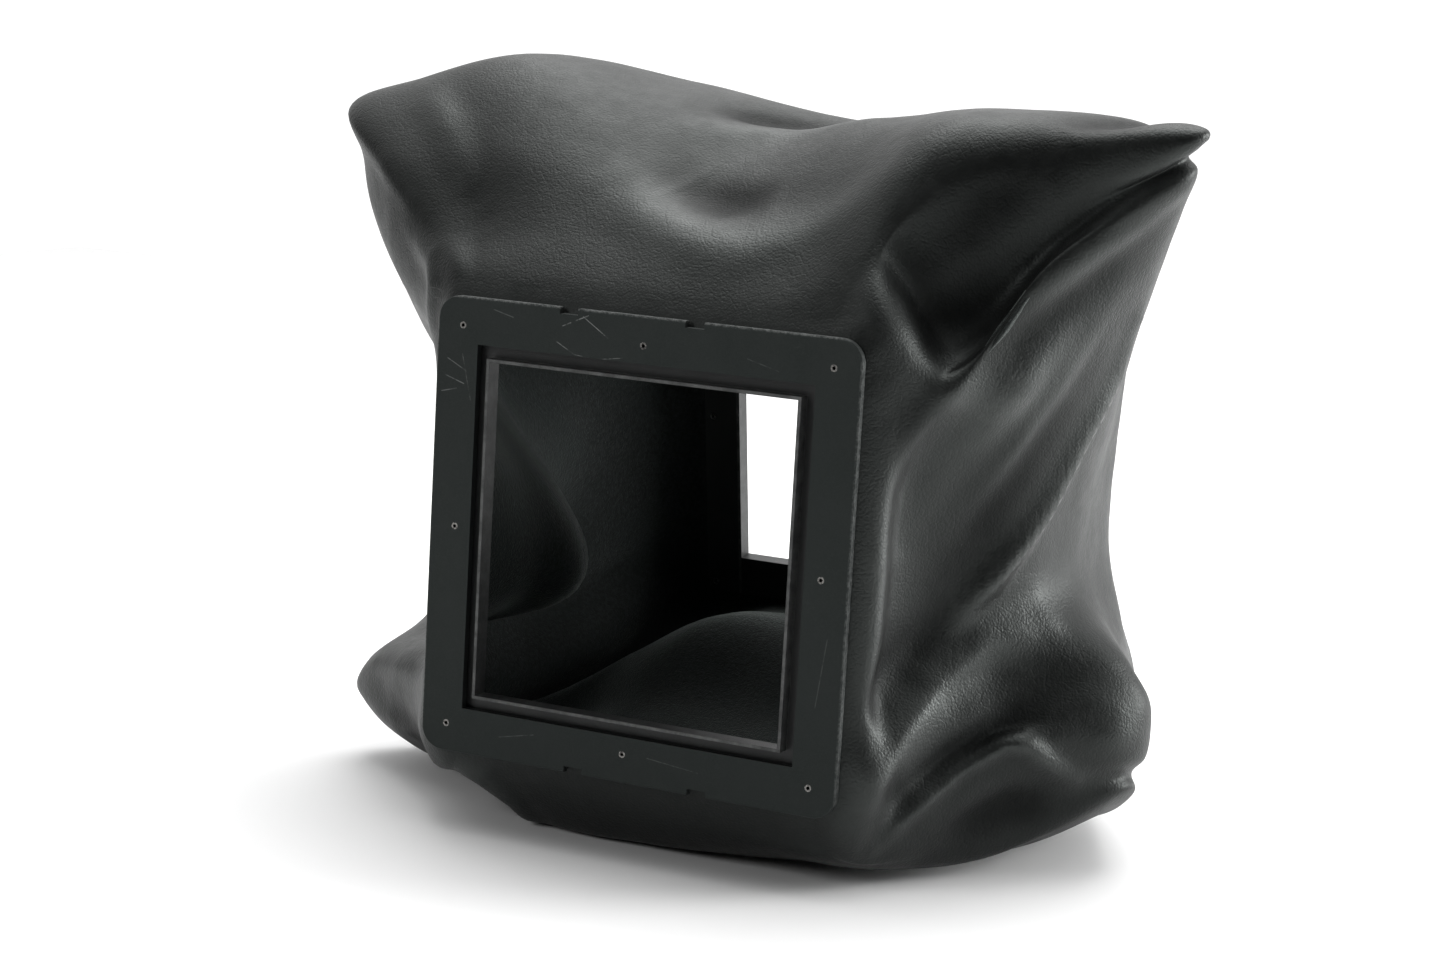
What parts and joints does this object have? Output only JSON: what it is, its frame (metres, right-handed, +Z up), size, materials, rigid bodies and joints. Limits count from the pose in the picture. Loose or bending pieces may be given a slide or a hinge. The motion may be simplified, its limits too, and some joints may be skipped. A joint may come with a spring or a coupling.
{
  "type": "view camera bag bellows",
  "caption": "Light-tight bag bellows for a large-format view camera: square plate frames joined by a slack leather bag with a dark velvet lining.",
  "frame": {"origin": "on the floor, below the middle of the overall box", "axes": "+Z up, -Y towards the front of the front frame, +X to the right seen from the front"},
  "size_m": [0.344, 0.2226, 0.272],
  "materials": {
    "frame_plate": "matte black anodised, lightly scratched",
    "rim_frame": "matte black",
    "rivet": "dull, darkened",
    "leather": "black pebbled leather, semi-matte",
    "velvet_lining": "black velvet",
    "welt": "black leather, raw edge"
  },
  "bodies": {
    "front_frame": {"front_plate": "frame_plate", "front_rim_frame": "rim_frame", "front_rivets": "rivet"},
    "front_bag": {"front_leather_panel": "leather", "front_lining_panel": "velvet_lining"},
    "seam": {"seam_welt": "welt"},
    "rear_bag": {"rear_leather_panel": "leather", "rear_lining_panel": "velvet_lining"},
    "rear_frame": {"rear_plate": "frame_plate", "rear_rim_frame": "rim_frame", "rear_rivets": "rivet"}
  },
  "joints": [
    {"name": "rise", "type": "slide", "parent": "front_frame", "child": "front_bag", "axis": [0, 0, 1], "range_m": [-0.03, 0.03], "deforming": ["front_leather_panel", "front_lining_panel"]},
    {"name": "front_extension", "type": "slide", "parent": "front_bag", "child": "seam", "axis": [0, 1, 0], "range_m": [-0.05, 0.01], "deforming": ["front_leather_panel", "front_lining_panel", "seam_welt"]},
    {"name": "rear_extension", "type": "slide", "parent": "seam", "child": "rear_bag", "axis": [0, 1, 0], "range_m": [-0.05, 0.01], "deforming": ["rear_leather_panel", "rear_lining_panel", "seam_welt"]},
    {"name": "rear_tilt", "type": "hinge", "parent": "rear_bag", "child": "rear_frame", "pos_m": [0, 0.09816, 0.132], "axis": [1, 0, 0], "range_deg": [-21, 3], "deforming": ["rear_leather_panel", "rear_lining_panel"]}
  ],
  "couplings": [
    {"joint": "rear_extension", "follows": "front_extension", "ratio": 1}
  ]
}
